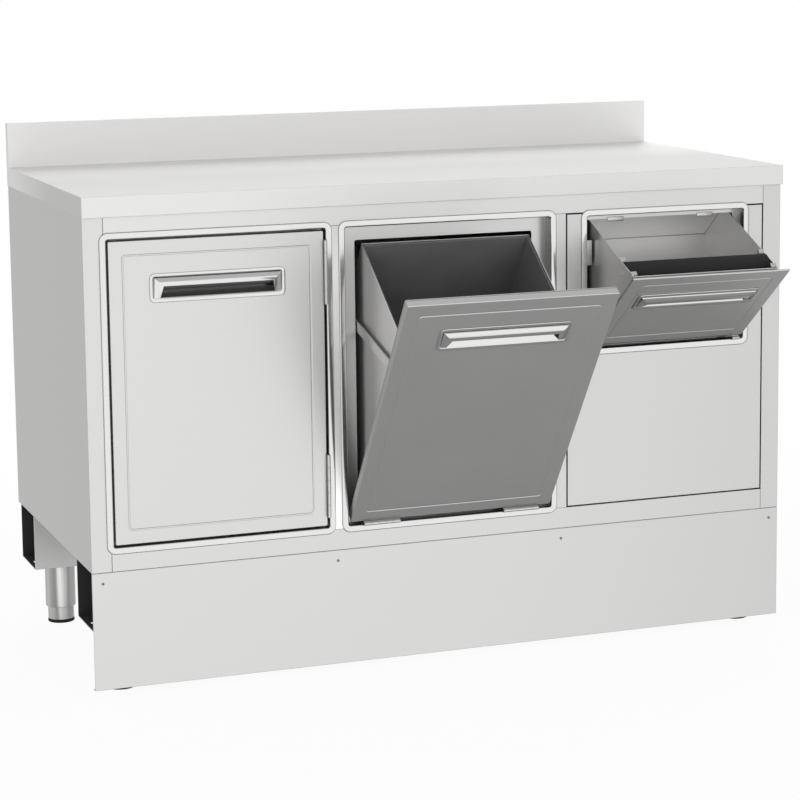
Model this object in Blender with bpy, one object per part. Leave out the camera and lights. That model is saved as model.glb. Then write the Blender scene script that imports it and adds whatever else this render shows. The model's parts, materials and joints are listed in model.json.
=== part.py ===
"""Stainless steel coffee machine counter: worktop with upstand, hinged cupboard door,
tilting waste hopper and tilting knock-out hopper, on a plinth and four adjustable feet.

Metres, +Z up. X runs along the counter and is zero at its middle, Y runs to the back.
The whole counter hangs on one empty that puts the origin under the middle of its footprint,
with both hoppers tilted out. Inside that empty, y is zero at the cabinet's front face.
"""
import math

import bmesh
import bpy
from mathutils import Matrix, Vector

# Worktop
WORKTOP_WIDTH = 1.500
WORKTOP_DEPTH = 0.700
WORKTOP_THICKNESS = 0.040
UPSTAND_HEIGHT = 0.095
UPSTAND_THICKNESS = 0.020
FRONT_OVERHANG = 0.008
SIDE_OVERHANG = 0.0015

# Cabinet
FLOOR_GAP = 0.015
PLINTH_HEIGHT = 0.234
PLINTH_HEM = 0.012
PLINTH_JOINT = 0.001
BODY_HEIGHT = 0.695
STILE_WIDTH = 0.040
MULLION_WIDTH = 0.030
TOP_RAIL_HEIGHT = 0.039
BOTTOM_RAIL_HEIGHT = 0.0425
FRAME_HEM = 0.030
REAR_RETURN = 0.020
SHEET = 0.0015
SEAT_GAP = 0.0003
PANEL_LIP = 0.015
PARTITION_LIP = 0.020

# Legs
BEAM_DEPTH = 0.130
BEAM_HEIGHT = 0.117
BEAM_SHEET = 0.002
REAR_BEAM_INSET = 0.026
BEAM_SLOT_LENGTH = 0.024
BEAM_SLOT_WIDTH = 0.014
BEAM_SLOT_END = 0.010
LEG_INSET = 0.067
SLEEVE_RADIUS = 0.0325
SLEEVE_BOTTOM = 0.035
SLEEVE_CAP = 0.004
FOOT_RADIUS = 0.028
FOOT_OVERLAP = 0.070
PAD_HEIGHT = 0.006
PAD_RADIUS = 0.0285
ROUND_STEPS = 24

# Polished rims round the openings
RIM_LAP = 0.0085
BEAD_WIDTH = 0.0135
BEAD_PROUD = 0.003
BEAD_EDGE = 0.0012
RIM_CORNER = 0.0175
LEAST_CORNER = 0.002
JAMB_DEPTH = 0.028
STOP_FLANGE = 0.030
SMALL_RIM_WIDTH = 0.385
SMALL_RIM_HEIGHT = 0.302
SMALL_RIM_LAP = 0.005
SMALL_FLANGE = 0.011
SMALL_FOOT_FLANGE = 0.002
CORNER_STEPS = 4

# Fixed panel under the small hopper
PANEL_JOINT = 0.003
PANEL_DEPTH = 0.020
PANEL_NOTCH_GAP = 0.001

# Doors
DOOR_GAP = 0.004
DOOR_THICKNESS = 0.018
DOOR_CORNER = 0.003
DOOR_EDGE = 0.001
LINER_LIP = 0.008
SMALL_DOOR_HEM = 0.003
SMALL_LINER_DROP = 0.025
GROOVE_INSET = 0.0265
GROOVE_WIDTH = 0.004
GROOVE_SLOPE = 0.001
GROOVE_DEPTH = 0.0008
GROOVE_CORNER = 0.0065
CATCH_LENGTH = 0.060
CATCH_WIDTH = 0.012
CATCH_HEIGHT = 0.300

# Handle cups
HANDLE_WIDTH = 0.274
HANDLE_HEIGHT = 0.057
HANDLE_DROP = 0.066
HANDLE_FLANGE = 0.006
HANDLE_PROUD = 0.002
HANDLE_CORNER = 0.010
HANDLE_DEPTH = 0.0145
HANDLE_SHEET = 0.0012
HANDLE_HOOD = 0.018
HANDLE_SIDE_SLOPE = 0.014
HANDLE_FOOT_SLOPE = 0.002

# Butt hinges
HINGE_LENGTH = 0.128
HINGE_INSET = 0.018
KNUCKLE_COUNT = 5
KNUCKLE_RADIUS = 0.0035
KNUCKLE_JOINT = 0.0004
PIN_RADIUS = 0.0020
PIN_GAP = 0.0003
LEAF_THICKNESS = 0.0012
LEAF_DEPTH = 0.016
MIDDLE_HINGE_LENGTH = 0.077
MIDDLE_HINGE_INSET = 0.0655
SMALL_HINGE_LENGTH = 0.016
SMALL_HINGE_INSET = 0.015
SMALL_KNUCKLE_COUNT = 3

# Waste hopper behind the middle door
MIDDLE_TILT = math.radians(35.5)
BIN_SIDE_GAP = 0.0107
BIN_BOX_REACH = 0.341
BIN_BOX_DROP = 0.1505
BIN_BOX_RISE = 0.0435
BIN_SHEET = 0.0012
BIN_WALL = 0.0025
BIN_GAP = 0.001
BIN_TOP_DROP = 0.003
STRAP_HEIGHT = 0.022
STRAP_THICKNESS = 0.003
STRAP_STANDOFF = 0.0055
STRAP_DROP = 0.195
STRAP_SLOPE = math.radians(20.3)

# Knock-out hopper behind the small door
SMALL_TILT = math.radians(52.5)
KNOCK_SIDE_GAP = 0.006
KNOCK_BOX_REACH = 0.248
KNOCK_BOX_RISE = 0.004
KNOCK_BOX_DROP = 0.0205
KNOCK_BOX_FALL = 0.132
KNOCK_SHEET = 0.0012
BAR_REACH = 0.052
BAR_DROP = 0.0625
BAR_RADIUS = 0.022
ROD_RADIUS = 0.005
ROD_END = 0.002

# Worked out from the sizes above
HALF_WIDTH = WORKTOP_WIDTH / 2 - SIDE_OVERHANG
BODY_DEPTH = WORKTOP_DEPTH - FRONT_OVERHANG
BODY_BOTTOM = FLOOR_GAP + PLINTH_HEIGHT + PLINTH_JOINT
BODY_TOP = BODY_BOTTOM + BODY_HEIGHT
BAY_BOTTOM = BODY_BOTTOM + BOTTOM_RAIL_HEIGHT
BAY_TOP = BODY_TOP - TOP_RAIL_HEIGHT
BAY_WIDTH = (2 * (HALF_WIDTH - STILE_WIDTH - MULLION_WIDTH)) / 3
BAY_LEFT = [index * (BAY_WIDTH + MULLION_WIDTH) - HALF_WIDTH + STILE_WIDTH for index in range(3)]
FRAME_BACK = FRAME_HEM + SEAT_GAP
BACK_PANEL_Y = BODY_DEPTH - SHEET - SEAT_GAP
BASE_BACK = BACK_PANEL_Y - SHEET - SEAT_GAP
BASE_TOP = BODY_BOTTOM + SEAT_GAP + SHEET
AXIS_FORWARD = BEAD_PROUD + SEAT_GAP + math.sqrt(KNUCKLE_RADIUS ** 2 - (DOOR_GAP / 2) ** 2)
LEAF_OFFSET = DOOR_GAP / 2 - SEAT_GAP - LEAF_THICKNESS
BIN_BOX_HALF = BAY_WIDTH / 2 + RIM_LAP - BEAD_WIDTH - STOP_FLANGE - BIN_SIDE_GAP
KNOCK_BOX_HALF = SMALL_RIM_WIDTH / 2 - BEAD_WIDTH - SMALL_FLANGE - KNOCK_SIDE_GAP


class Rect:
    """An upright rectangle on the cabinet's front, from its left, right, bottom and top."""

    def __init__(self, left, right, bottom, top):
        self.left = left
        self.right = right
        self.bottom = bottom
        self.top = top

    def inset(self, amount, bottom=None, top=None):
        low = amount if bottom is None else bottom
        high = amount if top is None else top
        return Rect(self.left + amount, self.right - amount, self.bottom + low, self.top - high)

    @property
    def middle(self):
        return (self.left + self.right) / 2


def bay(index):
    return Rect(BAY_LEFT[index], BAY_LEFT[index] + BAY_WIDTH, BAY_BOTTOM, BAY_TOP)


LEFT_RIM = bay(0).inset(-RIM_LAP)
MIDDLE_RIM = bay(1).inset(-RIM_LAP)
SMALL_RIM_TOP = BAY_TOP + SMALL_RIM_LAP
SMALL_RIM = Rect(bay(2).middle - SMALL_RIM_WIDTH / 2, bay(2).middle + SMALL_RIM_WIDTH / 2,
                 SMALL_RIM_TOP - SMALL_RIM_HEIGHT, SMALL_RIM_TOP)
LEFT_DOOR = LEFT_RIM.inset(BEAD_WIDTH + DOOR_GAP)
MIDDLE_DOOR = MIDDLE_RIM.inset(BEAD_WIDTH + DOOR_GAP)
SMALL_DOOR = SMALL_RIM.inset(BEAD_WIDTH + DOOR_GAP)

LEFT_AXIS = Vector((LEFT_DOOR.right + DOOR_GAP / 2, -AXIS_FORWARD, 0))
MIDDLE_AXIS = Vector((MIDDLE_DOOR.middle, -AXIS_FORWARD, MIDDLE_DOOR.bottom - DOOR_GAP / 2))
SMALL_AXIS = Vector((SMALL_DOOR.middle, -AXIS_FORWARD, SMALL_DOOR.bottom - DOOR_GAP / 2))


def forward_reach(door, axis, tilt):
    """How far the top edge of a tilted door stands in front of the cabinet."""
    corners = [(0, door.top - DOOR_EDGE), (DOOR_EDGE, door.top)]
    reach = [(axis.z - z) * -math.sin(tilt) - (y - axis.y) * math.cos(tilt) - axis.y for y, z in corners]
    return max(reach)


REACH = max(forward_reach(MIDDLE_DOOR, MIDDLE_AXIS, MIDDLE_TILT),
            forward_reach(SMALL_DOOR, SMALL_AXIS, SMALL_TILT), FRONT_OVERHANG)
FRONT_Y = (REACH - BODY_DEPTH) / 2


def make_material(name, colour, roughness, metallic):
    material = bpy.data.materials.new(name)
    material.use_nodes = True
    shader = material.node_tree.nodes["Principled BSDF"]
    shader.inputs["Base Color"].default_value = (*colour, 1)
    shader.inputs["Roughness"].default_value = roughness
    shader.inputs["Metallic"].default_value = metallic
    return material


def clear_scene():
    for item in list(bpy.data.objects):
        bpy.data.objects.remove(item, do_unlink=True)


def add_empty(name, place, parent=None, tilt=0.0):
    empty = bpy.data.objects.new(name, None)
    bpy.context.scene.collection.objects.link(empty)
    empty.parent = parent
    empty.location = place
    empty.rotation_euler = (tilt, 0, 0)
    return empty


def add_mesh(name, bm, material, holder):
    """Make an object from a closed mesh. Holder is the empty it hangs on and that empty's place."""
    parent, place = holder
    bmesh.ops.translate(bm, verts=bm.verts, vec=-place)
    bmesh.ops.recalc_face_normals(bm, faces=bm.faces)
    mesh = bpy.data.meshes.new(name)
    bm.to_mesh(mesh)
    bm.free()
    item = bpy.data.objects.new(name, mesh)
    bpy.context.scene.collection.objects.link(item)
    item.parent = parent
    mesh.materials.append(material)
    mesh.shade_smooth()
    mesh.set_sharp_from_angle(angle=math.radians(30))
    return item


def add_loops(bm, loops, closed=False):
    """Bridge a row of point loops. A closed row joins its ends, an open one is capped."""
    rings = [[bm.verts.new(point) for point in loop] for loop in loops]
    following = rings[1:] + rings[:1] if closed else rings[1:]
    for ring, other in zip(rings, following):
        count = len(ring)
        for index in range(count):
            nearby = (index + 1) % count
            bm.faces.new((ring[index], ring[nearby], other[nearby], other[index]))
    if not closed:
        bm.faces.new(rings[0])
        bm.faces.new(rings[-1])


def loft(name, loops, material, holder, closed=False):
    bm = bmesh.new()
    add_loops(bm, loops, closed)
    return add_mesh(name, bm, material, holder)


def cut(item, name, loops, holder, closed=False):
    """Cut a lofted shape out of an object."""
    cutter = loft(name, loops, item.data.materials[0], holder, closed)
    cutter.hide_render = True
    cutter.display_type = "WIRE"
    boolean = item.modifiers.new(name, "BOOLEAN")
    boolean.object = cutter
    boolean.operation = "DIFFERENCE"


def join(item, name, shapes, holder):
    """Join lofted shapes, each a row of loops and whether it closes, to an object."""
    bm = bmesh.new()
    for loops, closed in shapes:
        add_loops(bm, loops, closed)
    other = add_mesh(name, bm, item.data.materials[0], holder)
    other.hide_render = True
    other.display_type = "WIRE"
    boolean = item.modifiers.new(name, "BOOLEAN")
    boolean.object = other
    boolean.operation = "UNION"


def box_loops(low, high):
    (x0, y0, z0), (x1, y1, z1) = low, high
    return [[(x0, y0, z), (x1, y0, z), (x1, y1, z), (x0, y1, z)] for z in (z0, z1)]


def rounded(rect, radius, y):
    """The points of a rounded rectangle at a depth."""
    points = []
    corners = [(rect.right, rect.top, -1, -1, 0), (rect.left, rect.top, 1, -1, 1),
               (rect.left, rect.bottom, 1, 1, 2), (rect.right, rect.bottom, -1, 1, 3)]
    for x, z, side, rise, quarter in corners:
        for step in range(CORNER_STEPS + 1):
            angle = (quarter + step / CORNER_STEPS) * math.pi / 2
            points.append((x + side * radius + radius * math.cos(angle), y,
                           z + rise * radius + radius * math.sin(angle)))
    return points


def circle(centre, radius, axis):
    """The points of a circle round an axis, given as its letter."""
    points = []
    for step in range(ROUND_STEPS):
        angle = 2 * math.pi * step / ROUND_STEPS
        across, along = radius * math.cos(angle), radius * math.sin(angle)
        offset = (across, along, 0) if axis == "Z" else (0, across, along)
        points.append(Vector(centre) + Vector(offset))
    return points


def folded(path, thickness=SHEET):
    """The outline of a folded sheet: its path, and the path moved left by the thickness."""
    path = [Vector(point) for point in path]
    normals = []
    for start, end in zip(path, path[1:]):
        along = (end - start).normalized()
        normals.append(Vector((-along.y, along.x)))
    moved = [path[0] + normals[0] * thickness]
    for point, first, second in zip(path[1:], normals, normals[1:]):
        moved.append(point + (first + second) * (thickness / (1 + first.dot(second))))
    moved.append(path[-1] + normals[-1] * thickness)
    return path + moved[::-1]


def along_x(outline, low, high):
    return [[(x, point[0], point[1]) for point in outline] for x in (low, high)]


def along_y(outline, low, high):
    return [[(point[0], y, point[1]) for point in outline] for y in (low, high)]


def along_z(outline, low, high):
    return [[(point[0], point[1], z) for point in outline] for z in (low, high)]


def build_worktop(steel, board, holder):
    half = WORKTOP_WIDTH / 2
    front = -FRONT_OVERHANG
    top = BODY_TOP + WORKTOP_THICKNESS
    upstand_front = BODY_DEPTH - UPSTAND_THICKNESS
    upstand_top = top + UPSTAND_HEIGHT
    outline = [(front, BODY_TOP), (BODY_DEPTH, BODY_TOP), (BODY_DEPTH, upstand_top),
               (upstand_front, upstand_top), (upstand_front, top), (front, top)]
    below = BODY_TOP - SHEET
    hollow = [(front + SHEET, below), (BODY_DEPTH - SHEET, below), (BODY_DEPTH - SHEET, upstand_top - SHEET),
              (upstand_front + SHEET, upstand_top - SHEET), (upstand_front + SHEET, top - SHEET),
              (front + SHEET, top - SHEET)]
    worktop = loft("worktop", along_x(outline, -half, half), steel, holder)
    cut(worktop, "worktop_hollow", along_x(hollow, SHEET - half, half - SHEET), holder)
    side = half - SHEET - SEAT_GAP
    low = (-side, front + SHEET + SEAT_GAP, BODY_TOP + SEAT_GAP)
    high = (side, BODY_DEPTH - SHEET - SEAT_GAP, top - SHEET - SEAT_GAP)
    loft("worktop_core", box_loops(low, high), board, holder)


def build_carcass(steel, holder):
    low, high = BODY_BOTTOM + SEAT_GAP, BODY_TOP - SEAT_GAP
    stile = HALF_WIDTH - STILE_WIDTH
    side = [(stile, FRAME_HEM), (stile, 0), (HALF_WIDTH, 0), (HALF_WIDTH, BODY_DEPTH),
            (HALF_WIDTH - REAR_RETURN, BODY_DEPTH)]
    mirrored = [(-x, y) for x, y in side]
    loft("right_side_panel", along_z(folded(side), low, high), steel, holder)
    loft("left_side_panel", along_z(folded(mirrored[::-1]), low, high), steel, holder)

    rail_end = stile - SEAT_GAP
    top_rail = [(FRAME_HEM, high), (0, high), (0, BAY_TOP), (FRAME_HEM, BAY_TOP)]
    bottom_rail = [(FRAME_HEM, BAY_BOTTOM), (0, BAY_BOTTOM), (0, low), (FRAME_HEM, low)]
    loft("top_rail", along_x(folded(top_rail), -rail_end, rail_end), steel, holder)
    loft("bottom_rail", along_x(folded(bottom_rail), -rail_end, rail_end), steel, holder)

    inner = HALF_WIDTH - SHEET - SEAT_GAP
    back = [(BACK_PANEL_Y, BASE_TOP + SEAT_GAP), (BACK_PANEL_Y, high), (BACK_PANEL_Y - PANEL_LIP, high)]
    base = [(FRAME_BACK, low), (BASE_BACK, low), (BASE_BACK, low + PANEL_LIP)]
    loft("back_panel", along_x(folded(back), -inner, inner), steel, holder)
    loft("base_panel", along_x(folded(base), -inner, inner), steel, holder)

    partition_top = high - SHEET - SEAT_GAP
    partition_back = BASE_BACK - SHEET - SEAT_GAP
    for index, name in enumerate(("left", "right")):
        start = BAY_LEFT[index] + BAY_WIDTH
        end = BAY_LEFT[index + 1]
        mullion = [(start, FRAME_HEM), (start, 0), (end, 0), (end, FRAME_HEM)]
        loft(f"{name}_mullion", along_z(folded(mullion), BAY_BOTTOM + SEAT_GAP, BAY_TOP - SEAT_GAP),
             steel, holder)
        centre = (start + end) / 2
        partition = [(centre, partition_back), (centre, FRAME_BACK), (centre + PARTITION_LIP, FRAME_BACK)]
        loft(f"{name}_partition", along_z(folded(partition), BASE_TOP + SEAT_GAP, partition_top),
             steel, holder)


def build_base(steel, rubber, holder):
    top = BODY_BOTTOM - SEAT_GAP
    beam_bottom = BODY_BOTTOM - BEAM_HEIGHT
    plinth_top = FLOOR_GAP + PLINTH_HEIGHT
    plinth = [(0, plinth_top), (0, FLOOR_GAP), (PLINTH_HEM, FLOOR_GAP)]
    loft("plinth", along_x(folded(plinth), -HALF_WIDTH, HALF_WIDTH), steel, holder)

    front_start = SHEET + SEAT_GAP
    rear_start = BODY_DEPTH - REAR_BEAM_INSET - BEAM_DEPTH
    for name, start in (("front", front_start), ("rear", rear_start)):
        end = start + BEAM_DEPTH
        middle = (start + end) / 2
        channel = [(start, top), (start, beam_bottom), (end, beam_bottom), (end, top)]
        beam = loft(f"{name}_leg_beam", along_x(folded(channel, BEAM_SHEET), -HALF_WIDTH, HALF_WIDTH),
                    steel, holder)
        slot_depth = BEAM_SHEET * 2
        for side, sign in (("left", -1), ("right", 1)):
            slot = sign * (HALF_WIDTH - BEAM_SLOT_END - BEAM_SLOT_LENGTH / 2)
            low = (slot - BEAM_SLOT_LENGTH / 2, middle - BEAM_SLOT_WIDTH / 2, beam_bottom - slot_depth)
            high = (slot + BEAM_SLOT_LENGTH / 2, middle + BEAM_SLOT_WIDTH / 2, beam_bottom + slot_depth)
            cut(beam, f"{name}_{side}_slot", box_loops(low, high), holder)
            build_leg(f"{name}_{side}", Vector((sign * (HALF_WIDTH - LEG_INSET), middle, 0)),
                      beam_bottom - SEAT_GAP, steel, rubber, holder)


def build_leg(name, place, top, steel, rubber, holder):
    """A sleeve under the beam, and the foot that slides in it."""
    def ring(radius, height):
        return circle(place + Vector((0, 0, height)), radius, "Z")

    bore = FOOT_RADIUS + SEAT_GAP
    foot_top = SLEEVE_BOTTOM + FOOT_OVERLAP
    bore_top = min(foot_top + SEAT_GAP, top - SLEEVE_CAP)
    sleeve = [ring(bore, bore_top), ring(bore, SLEEVE_BOTTOM), ring(SLEEVE_RADIUS, SLEEVE_BOTTOM),
              ring(SLEEVE_RADIUS, top)]
    loft(f"leg_sleeve_{name}", sleeve, steel, holder)
    mover = add_empty(f"{name}_foot_axis", place, holder[0])
    foot_holder = (mover, place)
    loft(f"foot_{name}", [ring(FOOT_RADIUS, PAD_HEIGHT + SEAT_GAP), ring(FOOT_RADIUS, bore_top - SEAT_GAP)],
         steel, foot_holder)
    loft(f"foot_pad_{name}", [ring(PAD_RADIUS, 0), ring(PAD_RADIUS, PAD_HEIGHT)], rubber, foot_holder)


def build_rim(name, rect, flange, foot_flange, polished, holder):
    """A bead on the front, a jamb into the opening and a stop flange behind the door."""
    def ring(inset, y, foot=None):
        return rounded(rect.inset(inset, foot), max(RIM_CORNER - inset, LEAST_CORNER), y)

    shoulder = BEAD_EDGE - BEAD_PROUD
    stop = BEAD_WIDTH + flange
    foot = BEAD_WIDTH + foot_flange
    back = JAMB_DEPTH + SHEET
    outer = BEAD_WIDTH - SHEET
    rings = [ring(0, -SEAT_GAP), ring(0, shoulder), ring(BEAD_EDGE, -BEAD_PROUD),
             ring(BEAD_WIDTH - BEAD_EDGE, -BEAD_PROUD), ring(BEAD_WIDTH, shoulder),
             ring(BEAD_WIDTH, JAMB_DEPTH), ring(stop, JAMB_DEPTH, foot), ring(stop, back, foot),
             ring(outer, back), ring(outer, -SEAT_GAP)]
    loft(name, rings, polished, holder, closed=True)


def build_infill(steel, holder):
    """The fixed front of the right bay, notched for the small rim, on its seat."""
    panel = bay(2).inset(PANEL_JOINT)
    inner = panel.inset(SHEET)

    def ring(rect, y):
        return [(rect.left, y, rect.bottom), (rect.right, y, rect.bottom),
                (rect.right, y, rect.top), (rect.left, y, rect.top)]

    tray = [ring(inner, SHEET), ring(inner, PANEL_DEPTH), ring(panel, PANEL_DEPTH), ring(panel, 0)]
    infill = loft("infill_panel", tray, steel, holder)
    notch = SMALL_RIM.inset(BEAD_WIDTH - SHEET - PANEL_NOTCH_GAP)
    low = (notch.left, -PANEL_DEPTH, notch.bottom)
    high = (notch.right, 2 * PANEL_DEPTH, panel.top + PANEL_DEPTH)
    cut(infill, "infill_notch", box_loops(low, high), holder)

    ledge = panel.bottom - SEAT_GAP
    foot = BAY_BOTTOM + SEAT_GAP
    back = PANEL_DEPTH + SEAT_GAP
    seat = [(PANEL_LIP, ledge), (PANEL_LIP, foot), (back + SHEET, foot), (back + SHEET, ledge + PANEL_LIP),
            (back, ledge + PANEL_LIP), (back, ledge)]
    loft("infill_seat", along_x(seat, panel.left + PANEL_LIP, panel.right - PANEL_LIP), steel, holder)


def handle_rect(door):
    top = door.top - HANDLE_DROP
    return Rect(door.middle - HANDLE_WIDTH / 2, door.middle + HANDLE_WIDTH / 2, top - HANDLE_HEIGHT, top)


def build_door(name, door, hem, liner_rect, liner_front, steel, polished, holder):
    """A pressed skin with its groove, the liner tray on its back, and the handle cup."""
    handle = handle_rect(door)
    mouth = handle.inset(HANDLE_FLANGE)
    mouth_corner = HANDLE_CORNER - HANDLE_FLANGE
    groove_end = GROOVE_INSET + GROOVE_WIDTH

    def ring(inset, y, radius):
        return rounded(door.inset(inset), radius, y)

    skin = [rounded(mouth, mouth_corner, 0),
            ring(groove_end, 0, GROOVE_CORNER),
            ring(groove_end - GROOVE_SLOPE, GROOVE_DEPTH, GROOVE_CORNER),
            ring(GROOVE_INSET + GROOVE_SLOPE, GROOVE_DEPTH, GROOVE_CORNER),
            ring(GROOVE_INSET, 0, GROOVE_CORNER),
            ring(DOOR_EDGE, 0, DOOR_CORNER),
            ring(0, DOOR_EDGE, DOOR_CORNER),
            ring(0, hem, DOOR_CORNER),
            ring(SHEET, hem, DOOR_CORNER - SHEET),
            ring(SHEET, SHEET, DOOR_CORNER - SHEET),
            rounded(mouth, mouth_corner, SHEET)]
    loft(f"{name}_skin", skin, steel, holder, closed=True)

    inner = liner_rect.inset(SHEET)
    corner = DOOR_CORNER - SHEET - SEAT_GAP
    floor = DOOR_THICKNESS - SHEET
    liner = [rounded(inner, corner, floor), rounded(inner, corner, liner_front),
             rounded(liner_rect, corner, liner_front), rounded(liner_rect, corner, DOOR_THICKNESS)]
    loft(f"{name}_liner", liner, steel, holder)
    build_handle(f"{name}_handle", handle, polished, holder)


def build_full_door(name, door, steel, polished, holder):
    """A door whose skin is folded round the liner to its whole thickness."""
    build_door(name, door, DOOR_THICKNESS, door.inset(SHEET + SEAT_GAP), DOOR_THICKNESS - LINER_LIP,
               steel, polished, holder)


def build_handle(name, handle, polished, holder):
    """A pressed cup: flange on the skin, hood sloping in from the top, finger room below."""
    wall = handle.inset(HANDLE_FLANGE + SEAT_GAP)
    wall_corner = HANDLE_CORNER - HANDLE_FLANGE
    mouth = wall.inset(HANDLE_SHEET)
    floor = mouth.inset(HANDLE_SIDE_SLOPE, HANDLE_FOOT_SLOPE, HANDLE_HOOD)
    back = wall.inset(HANDLE_SIDE_SLOPE, HANDLE_FOOT_SLOPE, HANDLE_HOOD)
    edge = HANDLE_PROUD / 2
    loops = [rounded(floor, LEAST_CORNER, HANDLE_DEPTH),
             rounded(mouth, wall_corner, 0),
             rounded(mouth, wall_corner, -edge),
             rounded(mouth.inset(-edge), wall_corner, -HANDLE_PROUD),
             rounded(handle.inset(edge), HANDLE_CORNER, -HANDLE_PROUD),
             rounded(handle, HANDLE_CORNER, -edge),
             rounded(handle, HANDLE_CORNER, -SEAT_GAP),
             rounded(wall, wall_corner, -SEAT_GAP),
             rounded(wall, wall_corner, SHEET),
             rounded(back, LEAST_CORNER, HANDLE_DEPTH + HANDLE_SHEET)]
    loft(name, loops, polished, holder)


def build_hinge(name, start, length, count, turn, steel, holders):
    """A butt hinge from its lower pin end. Turn takes the hinge's own axes, across the joint,
    back into the opening and along the pin, to the counter's. Holders are the frame's and the door's."""
    pitch = length / count
    depth = AXIS_FORWARD + LEAF_DEPTH
    root = KNUCKLE_RADIUS + PIN_GAP
    tab = (PIN_RADIUS + PIN_GAP + KNUCKLE_RADIUS) / 2

    def placed(points):
        return [start + turn @ Vector(point) for point in points]

    def ring(radius, height):
        return placed(circle((0, 0, height), radius, "Z"))

    def span(index):
        return index * pitch + KNUCKLE_JOINT / 2, (index + 1) * pitch - KNUCKLE_JOINT / 2

    def leaf(own, side):
        """The outline of a leaf: a plate with a tab at each of its own knuckles."""
        points = [(depth, length), (depth, 0)]
        for index in range(count):
            low, high = span(index)
            if index in own:
                points += [(root, low), (tab, low), (tab, high), (root, high)]
        first, last = points[2], points[-1]
        if first[1] > KNUCKLE_JOINT:
            points.insert(2, (root, 0))
        if last[1] < length - KNUCKLE_JOINT:
            points.append((root, length))
        near, far = side * LEAF_OFFSET, side * (LEAF_OFFSET + LEAF_THICKNESS)
        return [placed([(x, y, z) for y, z in points]) for x in (near, far)]

    frame_own = range(0, count, 2)
    door_own = range(1, count, 2)
    barrel = []
    for index in range(count):
        low, high = span(index)
        if index in frame_own:
            barrel += [ring(KNUCKLE_RADIUS, low), ring(KNUCKLE_RADIUS, high)]
        else:
            low, high = span(index - 1)[1], span(index + 1)[0]
            barrel += [ring(PIN_RADIUS, low), ring(PIN_RADIUS, high)]
    frame_leaf = loft(f"{name}_frame_leaf", leaf(frame_own, 1), steel, holders[0])
    join(frame_leaf, f"{name}_frame_barrel", [(barrel, False)], holders[0])

    bore = PIN_RADIUS + PIN_GAP
    knuckles = []
    for index in door_own:
        low, high = span(index)
        rings = [ring(bore, low), ring(KNUCKLE_RADIUS, low), ring(KNUCKLE_RADIUS, high), ring(bore, high)]
        knuckles.append((rings, True))
    door_leaf = loft(f"{name}_door_leaf", leaf(door_own, -1), steel, holders[1])
    join(door_leaf, f"{name}_door_knuckles", knuckles, holders[1])


def build_left_door(steel, polished, magnet, cabinet, root):
    axis = add_empty("left_door_axis", LEFT_AXIS, root)
    holder = (axis, LEFT_AXIS)
    build_full_door("left_door", LEFT_DOOR, steel, polished, holder)
    upper = LEFT_DOOR.top - HINGE_INSET - HINGE_LENGTH
    lower = LEFT_DOOR.bottom + HINGE_INSET
    for name, height in (("upper", upper), ("lower", lower)):
        start = LEFT_AXIS + Vector((0, 0, height))
        build_hinge(f"{name}_hinge", start, HINGE_LENGTH, KNUCKLE_COUNT, Matrix.Identity(3), steel,
                    (cabinet, holder))
    flange_middle = LEFT_RIM.left + BEAD_WIDTH + STOP_FLANGE / 2
    height = LEFT_DOOR.bottom + CATCH_HEIGHT
    low = (flange_middle - CATCH_WIDTH / 2, DOOR_THICKNESS + SEAT_GAP, height)
    high = (flange_middle + CATCH_WIDTH / 2, JAMB_DEPTH - SEAT_GAP, height + CATCH_LENGTH)
    loft("magnet_catch", box_loops(low, high), magnet, cabinet)


def build_hopper_hinges(name, door, axis, inset, length, count, steel, holders):
    """Two hinges under a tilting door, whose pins run along X with the door above them."""
    turn = Matrix(((0, 0, 1), (0, 1, 0), (-1, 0, 0)))
    offset = (door.right - door.left) / 2 - inset
    for side, sign in (("left", -1), ("right", 1)):
        start = axis + Vector((sign * offset - length / 2, 0, 0))
        build_hinge(f"{name}_{side}_hinge", start, length, count, turn, steel, holders)


def open_box(half, front, rear, bottom, front_top, rear_top, wall, centre):
    """The loops of a box with no lid: the inside up, over the edge and down the outside."""
    def ring(inset, front_height, rear_height):
        left, right = centre - half + inset, centre + half - inset
        near, far = front + inset, rear - inset
        slope = (rear_top - front_top) / (rear - front) if rear_height != front_height else 0
        rise = slope * inset
        return [(left, near, front_height + rise), (right, near, front_height + rise),
                (right, far, rear_height - rise), (left, far, rear_height - rise)]

    return [ring(wall, bottom + wall, bottom + wall), ring(wall, front_top, rear_top),
            ring(0, front_top, rear_top), ring(0, bottom, bottom)]


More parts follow.
